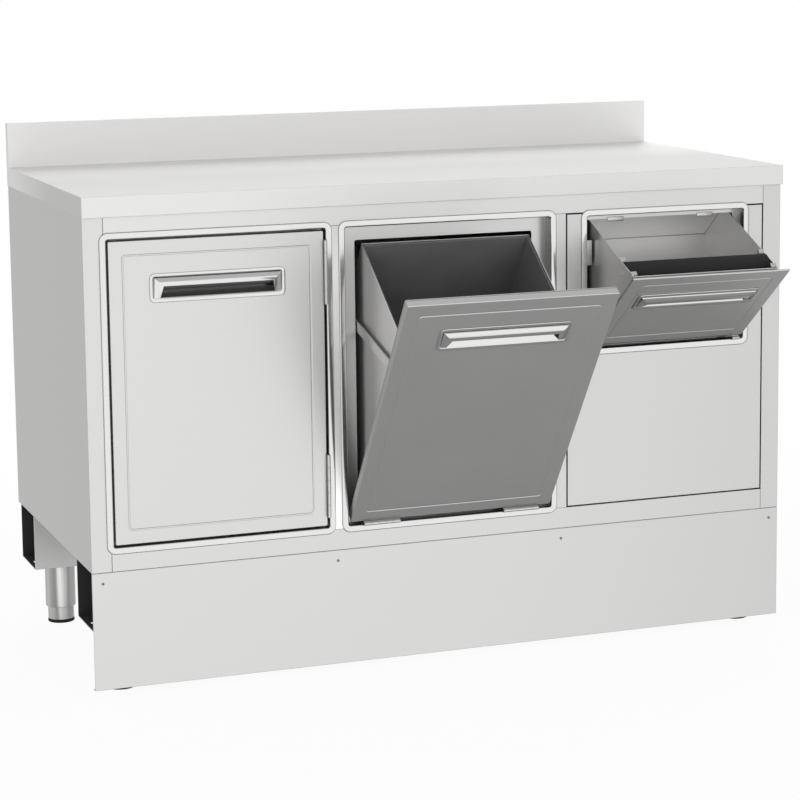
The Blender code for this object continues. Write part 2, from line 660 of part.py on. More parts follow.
def build_middle_hopper(steel, polished, plastic, cabinet, root):
    axis = add_empty("middle_hopper_axis", MIDDLE_AXIS, root, MIDDLE_TILT)
    holder = (axis, MIDDLE_AXIS)
    build_full_door("middle_door", MIDDLE_DOOR, steel, polished, holder)
    build_hopper_hinges("middle", MIDDLE_DOOR, MIDDLE_AXIS, MIDDLE_HINGE_INSET, MIDDLE_HINGE_LENGTH,
                        KNUCKLE_COUNT, steel, (cabinet, holder))
    centre = MIDDLE_DOOR.middle
    half = BIN_BOX_HALF
    front = DOOR_THICKNESS + SEAT_GAP
    bottom = MIDDLE_DOOR.bottom + BIN_BOX_RISE
    top = MIDDLE_DOOR.top - BIN_BOX_DROP
    loft("bin_box", open_box(half, front, BIN_BOX_REACH, bottom, top, top, BIN_SHEET, centre), steel, holder)

    room = BIN_SHEET + BIN_GAP
    bin_bottom = bottom + BIN_SHEET + SEAT_GAP
    bin_top = top - BIN_TOP_DROP
    bucket = open_box(half - room, front + room, BIN_BOX_REACH - room, bin_bottom, bin_top, bin_top,
                      BIN_WALL, centre)
    loft("waste_bin", bucket, plastic, holder)

    inner = half + STRAP_STANDOFF
    outer = inner + STRAP_THICKNESS
    rear = BIN_BOX_REACH + STRAP_STANDOFF
    outline = [(-outer, front), (-outer, rear + STRAP_THICKNESS), (outer, rear + STRAP_THICKNESS),
               (outer, front), (inner, front), (inner, rear), (-inner, rear), (-inner, front)]
    upper = MIDDLE_DOOR.top - STRAP_DROP
    fall = math.tan(STRAP_SLOPE)
    strap = [[(centre + x, y, upper - drop - fall * (y - front)) for x, y in outline]
             for drop in (STRAP_HEIGHT, 0)]
    loft("bin_strap", strap, steel, holder)


def build_small_hopper(steel, polished, rubber, cabinet, root):
    axis = add_empty("small_hopper_axis", SMALL_AXIS, root, SMALL_TILT)
    holder = (axis, SMALL_AXIS)
    liner = Rect(SMALL_DOOR.middle - KNOCK_BOX_HALF, SMALL_DOOR.middle + KNOCK_BOX_HALF,
                 SMALL_DOOR.bottom, SMALL_DOOR.top - SMALL_LINER_DROP)
    build_door("small_door", SMALL_DOOR, SMALL_DOOR_HEM, liner, SMALL_DOOR_HEM + SEAT_GAP,
               steel, polished, holder)
    build_hopper_hinges("small", SMALL_DOOR, SMALL_AXIS, SMALL_HINGE_INSET, SMALL_HINGE_LENGTH,
                        SMALL_KNUCKLE_COUNT, steel, (cabinet, holder))
    centre = SMALL_DOOR.middle
    half = KNOCK_BOX_HALF
    front_top = SMALL_DOOR.top - KNOCK_BOX_DROP
    walls = open_box(half, DOOR_THICKNESS + SEAT_GAP, KNOCK_BOX_REACH, SMALL_DOOR.bottom + KNOCK_BOX_RISE,
                     front_top, front_top - KNOCK_BOX_FALL, KNOCK_SHEET, centre)
    knock_box = loft("knock_box", walls, steel, holder)

    def ring(x, radius):
        return circle((centre + x, BAR_REACH, SMALL_DOOR.top - BAR_DROP), radius, "X")

    hole = ROD_RADIUS + SEAT_GAP
    cut(knock_box, "rod_holes", [ring(-2 * half, hole), ring(2 * half, hole)], holder)
    end = half + ROD_END
    loft("knock_rod", [ring(-end, ROD_RADIUS), ring(end, ROD_RADIUS)], steel, holder)
    length = half - KNOCK_SHEET - SEAT_GAP
    sleeve = [ring(-length, hole), ring(-length, BAR_RADIUS), ring(length, BAR_RADIUS), ring(length, hole)]
    loft("knock_bar", sleeve, rubber, holder, closed=True)


def main():
    clear_scene()
    satin = make_material("satin_steel", (0.62, 0.62, 0.63), 0.35, 1.0)
    polished = make_material("polished_steel", (0.80, 0.80, 0.81), 0.12, 1.0)
    rubber = make_material("black_rubber", (0.02, 0.02, 0.02), 0.7, 0.0)
    plastic = make_material("dark_grey_plastic", (0.05, 0.05, 0.05), 0.5, 0.0)
    board = make_material("chipboard", (0.45, 0.33, 0.20), 0.8, 0.0)
    magnet = make_material("magnet", (0.06, 0.05, 0.05), 0.6, 0.0)

    root = add_empty("counter", (0, FRONT_Y, 0))
    cabinet = (root, Vector())
    build_worktop(satin, board, cabinet)
    build_carcass(satin, cabinet)
    build_base(satin, rubber, cabinet)
    build_rim("left_rim", LEFT_RIM, STOP_FLANGE, STOP_FLANGE, polished, cabinet)
    build_rim("middle_rim", MIDDLE_RIM, STOP_FLANGE, STOP_FLANGE, polished, cabinet)
    build_rim("small_rim", SMALL_RIM, SMALL_FLANGE, SMALL_FOOT_FLANGE, polished, cabinet)
    build_infill(satin, cabinet)
    build_left_door(satin, polished, magnet, cabinet, root)
    build_middle_hopper(satin, polished, plastic, cabinet, root)
    build_small_hopper(satin, polished, rubber, cabinet, root)


main()
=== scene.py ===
"""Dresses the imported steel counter: sheet finishes, small fittings, studio stage and camera."""

import json
import math

import bmesh
import bpy
from mathutils import Matrix, Vector


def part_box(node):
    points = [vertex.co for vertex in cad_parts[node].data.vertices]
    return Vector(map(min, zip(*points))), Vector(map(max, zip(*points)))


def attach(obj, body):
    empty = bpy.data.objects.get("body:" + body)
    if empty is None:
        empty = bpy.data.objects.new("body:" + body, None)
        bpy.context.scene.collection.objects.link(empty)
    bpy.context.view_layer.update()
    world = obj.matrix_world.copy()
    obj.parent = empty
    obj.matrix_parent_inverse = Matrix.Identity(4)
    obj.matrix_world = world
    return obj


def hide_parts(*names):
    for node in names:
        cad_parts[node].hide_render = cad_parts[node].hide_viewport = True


bl_info = {
    "name": "Steel bar counter",
    "version": (1, 0, 0),
    "blender": (4, 5, 0),
    "location": "View3D > Sidebar > Counter",
    "description": "Finishes and fittings for a steel back-bar counter with tilting hoppers",
    "category": "Object",
}

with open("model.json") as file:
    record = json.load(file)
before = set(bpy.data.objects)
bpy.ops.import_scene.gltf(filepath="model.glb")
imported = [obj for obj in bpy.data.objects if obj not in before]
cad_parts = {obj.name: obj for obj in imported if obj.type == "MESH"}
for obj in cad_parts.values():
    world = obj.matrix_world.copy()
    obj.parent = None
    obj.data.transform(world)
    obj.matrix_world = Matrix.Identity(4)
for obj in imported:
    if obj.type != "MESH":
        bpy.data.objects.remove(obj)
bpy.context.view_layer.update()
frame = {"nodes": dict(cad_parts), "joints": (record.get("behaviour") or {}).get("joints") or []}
FRONT_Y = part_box("plinth")[0].y
JOINTS = {joint["name"]: joint for joint in frame["joints"]}
SEAT_GAP = 0.0003
ON_PLANE = 1e-5
NEAR_PLANE = 1e-4
SMOOTH_ANGLE = math.radians(32)
BEVEL_SAMPLES = 6
GRAIN_STRETCH = {"X": (0.02, 1.0, 1.0), "Y": (1.0, 0.02, 1.0), "Z": (1.0, 1.0, 0.02)}
GRAIN_SCALE = 900.0
SENSOR_WIDTH = 36.0
PHOTO_WIDTH = 800.0
FOCAL_PIXELS = 2579.08
# Watts per square metre at which a light panel shows as white
PANEL_WHITE = 4.0


class Term:
    """A node output that takes Python arithmetic; each operation adds a Math node."""

    def __init__(self, graph, socket):
        self.graph = graph
        self.socket = socket

    def math(self, operation, *terms, clamp=False):
        settings = {"operation": operation, "use_clamp": clamp}
        return self.graph.add("ShaderNodeMath", settings, dict(enumerate(terms)))

    def __add__(self, other):
        return self.math("ADD", self, other)

    def __radd__(self, other):
        return self.math("ADD", other, self)

    def __sub__(self, other):
        return self.math("SUBTRACT", self, other)

    def __rsub__(self, other):
        return self.math("SUBTRACT", other, self)

    def __mul__(self, other):
        return self.math("MULTIPLY", self, other)

    def __truediv__(self, other):
        return self.math("DIVIDE", self, other)

    def __abs__(self):
        return self.math("ABSOLUTE", self)

    def below(self, limit, soft):
        """1 where this is under the limit and 0 above it, with a soft step."""
        return self.math("MULTIPLY", (limit - self) / soft + 0.5, 1.0, clamp=True)

    def most(self, other):
        return self.math("MAXIMUM", self, other)


class Graph:
    """A node tree that is filled one node at a time."""

    def __init__(self, owner):
        owner.use_nodes = True
        self.tree = owner.node_tree
        self.tree.nodes.clear()

    def add(self, kind, settings=None, inputs=None, output=0):
        node = self.tree.nodes.new(kind)
        for key, value in (settings or {}).items():
            setattr(node, key, value)
        for key, value in (inputs or {}).items():
            if isinstance(value, Term):
                self.tree.links.new(value.socket, node.inputs[key])
            else:
                node.inputs[key].default_value = value
        if not node.outputs:
            return None
        return Term(self, node.outputs[output])

    def place(self):
        return self.add("ShaderNodeTexCoord", output="Object")

    def axes(self, place):
        node = self.add("ShaderNodeSeparateXYZ", None, {"Vector": place}).socket.node
        return [Term(self, output) for output in node.outputs]

    def noise(self, place, scale, detail=2.0, stretch=(1.0, 1.0, 1.0)):
        laid = self.add("ShaderNodeMapping", None, {"Vector": place, "Scale": stretch})
        inputs = {"Vector": laid, "Scale": scale, "Detail": detail}
        return self.add("ShaderNodeTexNoise", None, inputs, "Fac")

    def mix_colour(self, factor, first, second):
        return self.add("ShaderNodeMix", {"data_type": "RGBA"}, {0: factor, 6: first, 7: second}, 2)

    def rounded(self, radius):
        """The surface's direction, with its edges rounded off."""
        return self.add("ShaderNodeBevel", {"samples": BEVEL_SAMPLES}, {"Radius": radius})

    def bump(self, strength, distance, height, normal=None):
        relief = {"Strength": strength, "Distance": distance, "Height": height}
        if normal:
            relief["Normal"] = normal
        return self.add("ShaderNodeBump", None, relief)

    def surface(self, inputs):
        """Ends the tree with a surface that has these inputs."""
        shader = self.add("ShaderNodeBsdfPrincipled", None, inputs)
        self.add("ShaderNodeOutputMaterial", None, {"Surface": shader})


def shade(colour, factor):
    return tuple(channel * factor for channel in colour[:3]) + (1.0,)


def grey(level):
    return (level, level, level, 1.0)


def steel(name, colour, roughness, grain, depth, round_edge, tone=None, toned=1.0):
    """Rolled stainless sheet: a grain along one axis, soft clouding and lightly worn edges.

    Tone takes the place's axes to a mask, where the sheet is toned times as bright: dark joint lines on
    some sheets, painted light and painted shade on others."""
    graph = Graph(bpy.data.materials.new(name))
    place = graph.place()
    along = GRAIN_STRETCH[grain]
    fine = graph.noise(place, GRAIN_SCALE, 3.0, along)
    broad = graph.noise(place, 130.0, 2.0, along)
    cloud = graph.noise(place, 5.0, 3.0)
    streak = fine * 0.55 + broad * 0.45
    soft = graph.rounded(round_edge)
    true = graph.add("ShaderNodeNewGeometry", None, None, "True Normal")
    facing = graph.add("ShaderNodeVectorMath", {"operation": "DOT_PRODUCT"}, {0: soft, 1: true}, "Value")
    turned = 1.0 - facing
    worn = turned.math("MULTIPLY", turned, 3.0, clamp=True)
    tint = graph.mix_colour(streak * 0.6 + cloud * 0.4, shade(colour, 0.93), shade(colour, 1.07))
    if tone:
        tint = graph.mix_colour(tone(*graph.axes(place)), tint, shade(colour, toned))
    graph.surface({
        "Base Color": graph.mix_colour(worn * 0.4, tint, shade(colour, 1.15)),
        "Metallic": 1.0,
        "Roughness": roughness - 0.06 + streak * 0.07 + cloud * 0.05 - worn * 0.1,
        "Normal": graph.bump(depth, 0.0004, streak, soft),
    })


def moulded(name, colour, roughness, speckle, depth, round_edge, gloss):
    """Moulded rubber or plastic, also the matt finishes that paint light on the hood's back and shade
    inside the leg beams: fine pebble, dust in the clouding and rubbed edges.
    """
    graph = Graph(bpy.data.materials.new(name))
    place = graph.place()
    pebble = graph.noise(place, speckle, 4.0)
    cloud = graph.noise(place, 14.0, 3.0)
    dust = cloud * 0.7 + pebble * 0.3
    graph.surface({
        "Base Color": graph.mix_colour(dust, shade(colour, 0.75), shade(colour, 1.3)),
        "Roughness": roughness - 0.08 + pebble * 0.1 + cloud * 0.08,
        "Normal": graph.bump(depth, 0.0006, pebble, graph.rounded(round_edge)),
        "Specular IOR Level": gloss,
    })


def chipboard(name, colour):
    """Pressed board: overlapping pale and brown chips."""
    graph = Graph(bpy.data.materials.new(name))
    place = graph.place()
    settings = {"feature": "F1", "distance": "CHEBYCHEV"}
    chips = graph.add("ShaderNodeTexVoronoi", settings, {"Vector": place, "Scale": 220.0}, "Distance")
    fleck = graph.noise(place, 480.0, 3.0, (1.0, 0.3, 1.0))
    chip_tone = chips * 0.6 + fleck * 0.4
    graph.surface({
        "Base Color": graph.mix_colour(chip_tone, shade(colour, 0.65), shade(colour, 1.2)),
        "Roughness": 0.7 + fleck * 0.2,
        "Normal": graph.bump(0.3, 0.0005, fleck),
    })


def tube(name, colour, roughness):
    """Drawn tube: long dark bands along Z, partly drawing streaks and partly painted reflections, over a
    fine grain.
    """
    graph = Graph(bpy.data.materials.new(name))
    place = graph.place()
    band = graph.noise(place, 38.0, 1.0, (1.0, 1.0, 0.0))
    fine = graph.noise(place, GRAIN_SCALE, 3.0, GRAIN_STRETCH["Z"])
    # The dark bands are partly drawing streaks and partly painted reflections
    dark = band.below(0.5, 0.22) * 0.85 + fine * 0.15
    graph.surface({
        "Base Color": graph.mix_colour(dark, shade(colour, 1.15), shade(colour, 0.5)),
        "Metallic": 1.0,
        "Roughness": roughness + fine * 0.06,
        "Normal": graph.bump(0.05, 0.0004, fine, graph.rounded(0.0008)),
    })


class CounterFinish(bpy.types.PropertyGroup):
    satin_colour: bpy.props.FloatVectorProperty(
        name="Satin steel", description="Colour of the brushed sheet",
        default=(0.43, 0.428, 0.425), subtype="COLOR", min=0.0, max=1.0)
    satin_roughness: bpy.props.FloatProperty(
        name="Satin roughness", description="How widely the brushed sheet scatters light",
        default=0.42, min=0.05, max=1.0)
    worktop_colour: bpy.props.FloatVectorProperty(
        name="Worktop steel", description="Colour of the finely brushed worktop plate",
        default=(0.5, 0.497, 0.494), subtype="COLOR", min=0.0, max=1.0)
    worktop_roughness: bpy.props.FloatProperty(
        name="Worktop roughness", description="How widely the worktop plate scatters light",
        default=0.58, min=0.05, max=1.0)
    polished_colour: bpy.props.FloatVectorProperty(
        name="Polished steel", description="Colour of the rims, handles and hinges",
        default=(0.42, 0.418, 0.415), subtype="COLOR", min=0.0, max=1.0)
    polished_roughness: bpy.props.FloatProperty(
        name="Polished roughness", description="How widely the polished trim scatters light",
        default=0.14, min=0.02, max=1.0)
    rubber_colour: bpy.props.FloatVectorProperty(
        name="Rubber", description="Colour of the knock bar sleeve and the foot pads",
        default=(0.018, 0.018, 0.019), subtype="COLOR", min=0.0, max=1.0)
    bucket_colour: bpy.props.FloatVectorProperty(
        name="Bucket", description="Colour of the plastic waste bucket",
        default=(0.145, 0.142, 0.143), subtype="COLOR", min=0.0, max=1.0)
    board_colour: bpy.props.FloatVectorProperty(
        name="Board", description="Colour of the board under the worktop skin",
        default=(0.42, 0.3, 0.18), subtype="COLOR", min=0.0, max=1.0)
    seam_depth: bpy.props.FloatProperty(
        name="Seam depth", description="How far behind its face the middle door's seam runs",
        default=0.0155, min=0.0, unit="LENGTH")
    # Painted shade: the dark matt colour put on the inner faces of the leg beams
    beam_shade_colour: bpy.props.FloatVectorProperty(
        name="Beam painted shade", description="Colour of the painted shade inside the leg beams",
        default=(0.034, 0.034, 0.035), subtype="COLOR", min=0.0, max=1.0)
    box_sheet: bpy.props.FloatProperty(
        name="Grounds box sheet", description="Sheet thickness of the grounds box",
        default=0.0012, min=0.0, unit="LENGTH")
    box_rear: bpy.props.FloatProperty(
        name="Grounds box rear", description="Depth of the grounds box's rear wall with its door shut",
        default=0.0746, unit="LENGTH")
    box_floor: bpy.props.FloatProperty(
        name="Grounds box floor", description="Height of the grounds box's floor with its door shut",
        default=0.6317, unit="LENGTH")
    sheet_fold: bpy.props.FloatProperty(
        name="Fold radius", description="Rounding of the folded sheet edges",
        default=0.0012, min=0.0, unit="LENGTH")


class CounterFittings(bpy.types.PropertyGroup):
    bead_width: bpy.props.FloatProperty(
        name="Bead width", description="Width of the polished bead round an opening",
        default=0.0135, unit="LENGTH")
    bead_round: bpy.props.FloatProperty(
        name="Bead rounding", description="Radius of the bead's two edges", default=0.0024, unit="LENGTH")
    rim_corner: bpy.props.FloatProperty(
        name="Rim corner", description="Outer corner radius of a rim", default=0.0175, unit="LENGTH")
    rim_sheet: bpy.props.FloatProperty(
        name="Rim sheet", description="Sheet thickness of the rims", default=0.0015, unit="LENGTH")
    stop_flange: bpy.props.FloatProperty(
        name="Stop flange", description="How far the flange reaches behind a door",
        default=0.03, unit="LENGTH")
    small_flange: bpy.props.FloatProperty(
        name="Small flange", description="How far the small opening's flange reaches in",
        default=0.011, unit="LENGTH")
    small_foot_flange: bpy.props.FloatProperty(
        name="Small foot flange", description="How far it reaches up at the foot",
        default=0.002, unit="LENGTH")
    handle_corner: bpy.props.FloatProperty(
        name="Handle corner", description="Corner radius of the handle flange",
        default=0.01, unit="LENGTH")
    handle_flange: bpy.props.FloatProperty(
        name="Handle flange", description="Width of the flange round the cup",
        default=0.0075, unit="LENGTH")
    handle_depth: bpy.props.FloatProperty(
        name="Handle depth", description="Depth of the cup behind the flange face",
        default=0.0165, unit="LENGTH")
    handle_end: bpy.props.FloatProperty(
        name="Handle end slope", description="How far the cup's ends slope in",
        default=0.003, unit="LENGTH")
    handle_foot: bpy.props.FloatProperty(
        name="Handle foot slope", description="How far the cup's foot slopes up",
        default=0.0165, unit="LENGTH")
    handle_round: bpy.props.FloatProperty(
        name="Handle rounding", description="Radius of the flange's inner edge",
        default=0.0028, unit="LENGTH")
    handle_top: bpy.props.FloatProperty(
        name="Handle top slope", description="How far the cup's top slopes down",
        default=0.001, unit="LENGTH")
    flange_round: bpy.props.FloatProperty(
        name="Flange rounding", description="Radius of the flange's outer edge",
        default=0.0013, unit="LENGTH")
    cup_round: bpy.props.FloatProperty(
        name="Cup rounding", description="Radius of the edges at the back of the cup",
        default=0.0015, unit="LENGTH")
    cup_sheet: bpy.props.FloatProperty(
        name="Cup sheet", description="Sheet thickness of the cup", default=0.001, unit="LENGTH")
    hood_sheet: bpy.props.FloatProperty(
        name="Hood sheet", description="Sheet thickness of the hood", default=0.0011, unit="LENGTH")
    hood_gap: bpy.props.FloatProperty(
        name="Hood gap", description="Gap between the hood and the cup's walls",
        default=0.0008, unit="LENGTH")
    hood_height: bpy.props.FloatProperty(
        name="Hood height", description="Height of the hood over the slot", default=0.0165, unit="LENGTH")
    hood_depth: bpy.props.FloatProperty(
        name="Hood depth", description="How far behind the flange the hood starts",
        default=0.0015, unit="LENGTH")
    hood_reach: bpy.props.FloatProperty(
        name="Hood reach", description="How far the hood rolls forward to its lip",
        default=0.0085, unit="LENGTH")
    hood_end: bpy.props.FloatProperty(
        name="Hood end", description="How far each end of the hood's lip lies in",
        default=0.018, unit="LENGTH")
    wing_depth: bpy.props.FloatProperty(
        name="Wing depth", description="How far the foot of a hood wing lies back",
        default=0.0016, unit="LENGTH")
    wing_spread: bpy.props.FloatProperty(
        name="Wing spread", description="How far each wing's foot lies out from the lip's end",
        default=0.005, unit="LENGTH")
    small_handle_drop: bpy.props.FloatProperty(
        name="Small handle drop", description="How much lower the small door's handle sits",
        default=0.0035, unit="LENGTH")
    clip_width: bpy.props.FloatProperty(
        name="Clip width", description="Reach of the clips that hold the knock bar",
        default=0.012, unit="LENGTH")
    tab_width: bpy.props.FloatProperty(
        name="Tab width", description="Width of the tabs under the small rim's top",
        default=0.036, unit="LENGTH")
    tab_reach: bpy.props.FloatProperty(
        name="Tab reach", description="Distance of each tab from the small rim's middle",
        default=0.1025, unit="LENGTH")
    screw_radius: bpy.props.FloatProperty(
        name="Screw radius", description="Head radius of the plinth screws",
        default=0.0028, unit="LENGTH")
    screw_height: bpy.props.FloatProperty(
        name="Screw height", description="Height of the plinth screws over the floor",
        default=0.228, unit="LENGTH")


class CounterStage(bpy.types.PropertyGroup):
    camera_place: bpy.props.FloatVectorProperty(
        name="Camera", description="Where the camera stands",
        default=(-1.84641, -4.97222, 1.49119), subtype="TRANSLATION", unit="LENGTH")
    camera_turn: bpy.props.FloatVectorProperty(
        name="Camera turn", description="Yaw to the right, pitch down and roll of the camera",
        default=(0.36191, 0.14754, -0.0093), subtype="EULER", unit="ROTATION")
    camera_lens: bpy.props.FloatProperty(
        name="Lens", description="Focal length in millimetres on a 36 mm sensor",
        default=FOCAL_PIXELS * SENSOR_WIDTH / PHOTO_WIDTH, min=10.0)
    camera_shift: bpy.props.FloatVectorProperty(
        name="Lens shift", description="Sideways and upward shift of the lens",
        default=(-0.045, -0.115), size=2)
    front_light: bpy.props.FloatProperty(
        name="Front light", description="Light that the large soft panel in front adds, where white is 1",
        default=0.72, min=0.0)
    room_light: bpy.props.FloatProperty(
        name="Room light", description="Light from all round on matt surfaces",
        default=0.75, min=0.0)
    back_light: bpy.props.FloatProperty(
        name="Back light", description="Light that the soft panel behind adds, where white is 1",
        default=0.8, min=0.0)
    floor_dark: bpy.props.FloatProperty(
        name="Floor depth", description="How much darker steel that faces straight down sees the room",
        default=0.5, min=0.0, max=1.0)
    floor_white: bpy.props.FloatProperty(
        name="Floor white", description="Share of plain white that lifts the floor's shadow",
        default=0.94, min=0.0, max=1.0)


def finish(name):
    return bpy.data.materials[name]


def wear(node, name):
    """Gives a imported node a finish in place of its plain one."""
    slots = frame["nodes"][node].data.materials
    slots.clear()
    slots.append(finish(name))


def opened(joint):
    """The turn from the closed place of a hopper to the open place it has at rest."""
    facts = JOINTS[joint]
    pin = Matrix.Translation(facts["pos_m"])
    return pin @ Matrix.Rotation(-math.radians(facts["range_deg"][0]), 4, facts["axis"]) @ pin.inverted()


def shut(joint, axis, y, z):
    """Where a place on an open hopper comes to lie, along one axis, when the hopper is closed."""
    row = opened(joint).inverted()[axis]
    return y * row[1] + z * row[2] + row[3]


class COUNTER_OT_finish(bpy.types.Operator):
    """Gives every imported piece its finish"""

    bl_idname = "counter.finish"
    bl_label = "Finish the sheets"

    def execute(self, context):
        want = context.scene.counter_finish
        fold = want.sheet_fold
        relief = 0.12

        def worktop_painted_light(x, y, z):
            """Painted light: lifts the upstand and the rear of the plate, which lies in the upstand's
            shade, and puts a lesser painted highlight on the front edge.
            """
            edge = y.below(limit=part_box("worktop")[0].y + 0.002, soft=0.001)
            return (edge * 0.43).most(1.0 - y.below(limit=0.28, soft=0.34))

        def rail_tone(x, y, z):
            """The joints at the ends of the two rails."""
            return 1.0 - abs(x).below(limit=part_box("top_rail")[1].x - 0.0009, soft=0.0006)

        def mullion_painted_light(x, y, z):
            """Painted light on the mullion's lower part, which the open middle hopper beside it darkens."""
            return z.below(limit=0.86, soft=0.1)

        def seam_tone(x, y, z):
            """The joint between skin and liner round the edge of the open middle door."""
            seam_y = FRONT_Y + want.seam_depth
            return abs(shut("middle_hopper_tilt", 1, y, z) - seam_y).below(limit=0.0006, soft=0.0003)

        def fold_painted_shade(x, y, z):
            """Painted shade along the inside folds where the grounds box's rear wall meets its floor and
            its right wall.
            """
            wall_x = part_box("knock_box")[1].x - want.box_sheet
            rear = abs(shut("small_hopper_tilt", 1, y, z) - want.box_rear)
            foot = abs(shut("small_hopper_tilt", 2, y, z) - want.box_floor)
            side = abs(x - wall_x)
            line = {"limit": 0.0012, "soft": 0.0004}
            return rear.most(foot).below(**line).most(rear.most(side).below(**line))

        def toned(name, part, grain, tone, level, bright=1.0):
            colour = shade(want.satin_colour, bright)
            steel(name, colour, want.satin_roughness, grain, relief, fold, tone, level)
            wear(part, name)

        # Painted light: the grounds box, the bin box, its strap and the knock rod wear a copy of the satin
        # sheet 1.7 times as bright, lifting the shade inside the hoppers
        box_painted_light = 1.7
        satin = want.satin_roughness
        for name, bright, roughness, grain, depth in (
                ("satin_steel_x", 1.0, satin, "X", relief),
                ("satin_steel_y", 1.0, satin, "Y", relief),
                ("satin_steel_z", 1.0, satin, "Z", relief),
                ("box_steel", box_painted_light, 0.45, "X", 0.1),
                # Painted light: the small door's skin is a lighter copy that lifts the tilted door's shade
                ("small_door_steel", 1.12, satin, "X", relief),
                # Painted shade: a near-black copy for the cup's back wall under the hood
                ("cup_back_steel", 0.2, 0.6, "X", 0.05),
                ("jamb_steel", 0.85, 0.3, "X", 0.08),
                ("side_jamb_steel", 0.85, 0.3, "Z", 0.08)):
            steel(name, shade(want.satin_colour, bright), roughness, grain, depth, fold)
        steel("screw_steel", shade(want.satin_colour, 0.35), 0.3, "Z", depth=0.04, round_edge=0.0002)
        # Painted light: the worktop's mask makes the upstand and the plate's rear 1.3 times as bright, its
        # front edge less so
        steel(
            "worktop_steel", want.worktop_colour, want.worktop_roughness, "X", depth=0.15, round_edge=fold,
            tone=worktop_painted_light, toned=1.3)
        steel("bright_steel", want.polished_colour, want.polished_roughness, "X", 0.02, fold)
        tube("tube_steel", shade(want.satin_colour, 1.1), 0.2)
        chipboard("pressed_board", want.board_colour)
        for name, colour, roughness, speckle, depth, round_edge, gloss in (
                # Painted light: matt grey on the hood's back, seen in the cup's reflections in place of
                # light bounced round the cup
                ("hood_back_painted_light", grey(0.5), 0.8, 700.0, 0.1, fold, 0.1),
                # Painted shade inside the leg beams
                ("beam_painted_shade", want.beam_shade_colour, 0.9, 600.0, 0.2, fold, 0.05),
                ("soft_rubber", want.rubber_colour, 0.8, 900.0, 0.35, 0.001, 0.2),
                ("grey_bucket", want.bucket_colour, 0.6, 700.0, 0.2, 0.0015, 0.3),
                ("ferrite", (0.05, 0.05, 0.052), 0.4, 500.0, 0.2, 0.0008, 0.5)):
            moulded(name, colour, roughness, speckle, depth, round_edge, gloss)
        slots = {
            "polished_steel": "bright_steel", "black_rubber": "soft_rubber", "magnet": "ferrite",
            "dark_grey_plastic": "grey_bucket", "chipboard": "pressed_board",
        }
        own = {
            "worktop": "worktop_steel", "bin_box": "box_steel", "bin_strap": "box_steel",
            "small_door_skin": "small_door_steel",
        }
        upright = ("left_mullion", "right_mullion", "leg_sleeve", "foot_front", "foot_rear")
        deep = ("left_side_panel", "right_side_panel", "left_partition", "right_partition")
        for name, piece in frame["nodes"].items():
            packed = piece.data.materials[0].name.split(".")[0]
            if name in own:
                wear(name, own[name])
            elif packed in slots:
                wear(name, slots[packed])
            elif name.startswith(upright):
                wear(name, "satin_steel_z")
            elif name.startswith(deep):
                wear(name, "satin_steel_y")
            else:
                wear(name, "satin_steel_x")
        toned("rail_steel_top", "top_rail", "X", rail_tone, 0.3, 1.06)
        toned("rail_steel_foot", "bottom_rail", "X", rail_tone, 0.3)
        # Painted light: the mullion's lower part is made 1.6 times as bright
        toned("mullion_steel", "left_mullion", "Z", mullion_painted_light, 1.6)
        toned("seamed_door_steel", "middle_door_skin", "X", seam_tone, 0.3)
        # Painted light and shade on the grounds box: the lighter box copy, with painted shade along its
        # inside folds
        toned("knock_box_steel", "knock_box", "X", fold_painted_shade, 0.45, box_painted_light)
        # Painted shade inside the two leg beams
        self.paint_shade_inside("front_leg_beam")
        self.paint_shade_inside("rear_leg_beam")
        return {"FINISHED"}

    def paint_shade_inside(self, node):
        """Paints shade on the inside of a leg beam, as a dark matt finish on its inner faces."""
        mesh = frame["nodes"][node].data
        mesh.materials.append(finish("beam_painted_shade"))
        low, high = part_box(node)
        skin = 0.001
        for face in mesh.polygons:
            spot = face.center
            inside = all(low[axis] + skin < spot[axis] < high[axis] - skin for axis in (1, 2))
            if inside and abs(face.normal.x) < 0.5:
                face.material_index = 1


def only(piece):
    bpy.ops.object.select_all(action="DESELECT")
    piece.select_set(True)
    bpy.context.view_layer.objects.active = piece


def begin(name, add, scale=(1.0, 1.0, 1.0), **sizes):
    """Adds a primitive, names it, settles its place in its mesh and opens it for editing."""
    bpy.ops.object.select_all(action="DESELECT")
    add(**sizes)
    piece = bpy.context.object
    piece.scale = scale
    piece.name = piece.data.name = name
    bpy.ops.object.transform_apply(location=True, rotation=True, scale=True)
    bpy.ops.object.mode_set(mode="EDIT")
    return piece


def pick(kind, test):
    """Selects the corners, edges or faces of the open mesh that pass a test, and no others."""
    bpy.ops.mesh.select_mode(type=kind)
    bpy.ops.mesh.select_all(action="DESELECT")
    mesh = bpy.context.object.data
    shape = bmesh.from_edit_mesh(mesh)
    shape.normal_update()
    for part in {"VERT": shape.verts, "EDGE": shape.edges, "FACE": shape.faces}[kind]:
        if test(part):
            part.select_set(True)
    shape.select_flush_mode()
    bmesh.update_edit_mesh(mesh)


def move(x=0.0, y=0.0, z=0.0):
    bpy.ops.transform.translate(value=(x, y, z))


def draw(x=0.0, y=0.0, z=0.0):
    """Extrudes the picked faces."""
    bpy.ops.mesh.extrude_region_move(TRANSFORM_OT_translate={"value": (x, y, z)})


def draw_edges(x=0.0, y=0.0, z=0.0):
    bpy.ops.mesh.extrude_edges_move(TRANSFORM_OT_translate={"value": (x, y, z)})


def soften(radius, steps):
    bpy.ops.mesh.bevel(offset=radius, segments=steps, affect="EDGES")


def corner(limit=0.6):
    """A test for edges that are sharper than the limit."""
    return lambda edge: len(edge.link_faces) == 2 and edge.calc_face_angle(0.0) > limit


def middle(edge):
    return (edge.verts[0].co + edge.verts[1].co) / 2


